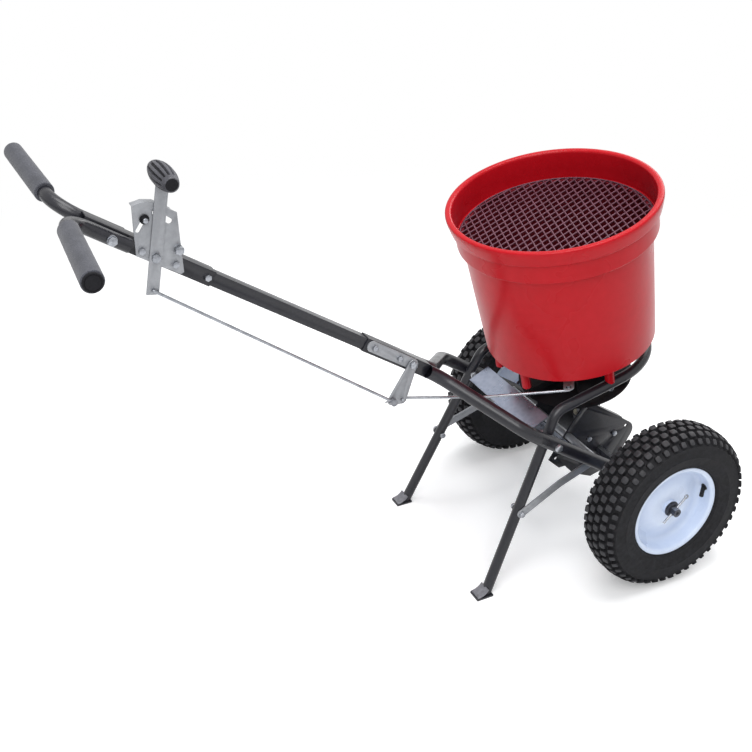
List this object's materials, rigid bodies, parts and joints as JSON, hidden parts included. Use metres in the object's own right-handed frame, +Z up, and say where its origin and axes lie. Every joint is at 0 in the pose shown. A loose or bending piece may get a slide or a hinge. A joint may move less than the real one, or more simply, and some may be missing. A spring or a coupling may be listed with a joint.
{
  "type": "broadcast spreader",
  "caption": "push spreader with a red round tub and mesh screen on a black tube frame, pneumatic wheels, kick stand, telescoped boom, foam grips and a lever that works the shutter",
  "frame": {"origin": "on the ground under the middle of the bounding box, with the machine resting on its wheels and feet", "axes": "+X forward, the way it is pushed; +Y to the user's left; +Z up"},
  "size_m": [1.1951, 0.556, 0.8798],
  "materials": {
    "black_paint": "semi-gloss powder coat",
    "zinc": "zinc plated",
    "galvanised": "bright galvanised",
    "red_plastic": "smooth moulded",
    "mesh_black": "expanded metal, painted",
    "black_plastic": "moulded",
    "foam": "matt foam",
    "steel": "plain turned steel",
    "cast": "cast",
    "nylon": "moulded nylon",
    "tyre_rubber": "matt tread",
    "white_paint": "gloss paint",
    "black_rubber": "matt"
  },
  "bodies": {
    "frame": {"lower_boom": "black_paint", "middle_boom": "black_paint", "upper_boom": "black_paint", "rail_right": "black_paint", "rail_left": "black_paint", "hoop": "black_paint", "leg_right": "black_paint", "leg_left": "black_paint", "brace_right": "zinc", "brace_left": "zinc", "cross_rod": "zinc", "side_plate_right": "black_paint", "side_plate_left": "black_paint", "deflector": "galvanised", "hopper": "red_plastic", "screen": "mesh_black", "shutter_ring": "black_plastic", "handle_tube_right": "black_paint", "handle_tube_left": "black_paint", "grip_right": "foam", "grip_left": "foam", "grip_plugs": "black_plastic", "saddle_washers": "zinc", "lever_plate": "zinc", "bellcrank_bracket": "zinc", "gear_case_right": "cast", "gear_case_left": "cast", "shaft_bush": "nylon", "axle_bushes": "nylon", "m8_bolts": "zinc", "m8_nuts": "zinc", "m6_bolts": "zinc", "m6_nuts": "zinc"},
    "drive_axle": {"axle": "steel", "axle_pins": "zinc", "axle_washers": "zinc", "axle_spacers": "zinc", "crown_gear": "steel", "tyre_right": "tyre_rubber", "rim_right": "white_paint", "hub_right": "white_paint", "hub_bushes_right": "steel", "valve_right": "black_rubber"},
    "idle_wheel": {"tyre_left": "tyre_rubber", "rim_left": "white_paint", "hub_left": "white_paint", "hub_bushes_left": "steel", "valve_left": "black_rubber"},
    "impeller": {"impeller_shaft": "steel", "pinion": "steel", "impeller": "black_plastic", "agitator": "steel"},
    "shutter": {"shutter": "zinc"},
    "bellcrank": {"bellcrank": "zinc"},
    "gate_rod": {"gate_rod": "zinc"},
    "control_rod": {"control_rod": "zinc", "swivel": "steel"},
    "lever": {"lever": "zinc", "lever_knob": "black_plastic"},
    "stop": {"adjustable_stop": "black_plastic"}
  },
  "joints": [
    {"name": "axle_spin", "type": "hinge", "parent": "frame", "child": "drive_axle", "pos_m": [0.43455, 0, 0.163], "axis": [0, 1, 0], "continuous": true},
    {"name": "idle_wheel_spin", "type": "hinge", "parent": "frame", "child": "idle_wheel", "pos_m": [0.43455, 0.2365, 0.163], "axis": [0, 1, 0], "continuous": true},
    {"name": "impeller_spin", "type": "hinge", "parent": "frame", "child": "impeller", "pos_m": [0.43455, 0, 0.163], "axis": [-0.2351, 0, 0.972], "continuous": true},
    {"name": "lever_swing", "type": "hinge", "parent": "frame", "child": "lever", "pos_m": [-0.43212, -0.0171, 0.73424], "axis": [0, 1, 0], "range_deg": [-3.5, 40]},
    {"name": "control_rod_turn", "type": "hinge", "parent": "lever", "child": "control_rod", "pos_m": [-0.43996, -0.0171, 0.68183], "axis": [0, 1, 0], "range_deg": [-41.28, 3.62]},
    {"name": "bellcrank_turn", "type": "hinge", "parent": "frame", "child": "bellcrank", "pos_m": [0.02038, -0.0176, 0.43953], "axis": [0, 1, 0], "range_deg": [-2.43, 27.64]},
    {"name": "gate_rod_turn", "type": "hinge", "parent": "bellcrank", "child": "gate_rod", "pos_m": [0.00032, -0.0176, 0.37351], "axis": [0.0642, 0.9826, -0.1744], "range_deg": [-23.63, 2.08]},
    {"name": "shutter_turn", "type": "hinge", "parent": "frame", "child": "shutter", "pos_m": [0.37683, 0, 0.40162], "axis": [-0.2351, 0, 0.972], "range_deg": [-12.22, 1.08]},
    {"name": "stop_slide", "type": "slide", "parent": "frame", "child": "stop", "axis": [0.5519, 0, 0.8339], "range_m": [-0.0195, 0.0015]}
  ],
  "couplings": [
    {"joint": "impeller_spin", "follows": "axle_spin", "ratio": -4},
    {"joint": "control_rod_turn", "follows": "lever_swing", "ratio": -1.0318},
    {"joint": "bellcrank_turn", "follows": "lever_swing", "ratio": 0.69063},
    {"joint": "gate_rod_turn", "follows": "lever_swing", "ratio": -0.59061},
    {"joint": "shutter_turn", "follows": "lever_swing", "ratio": -0.30538}
  ]
}
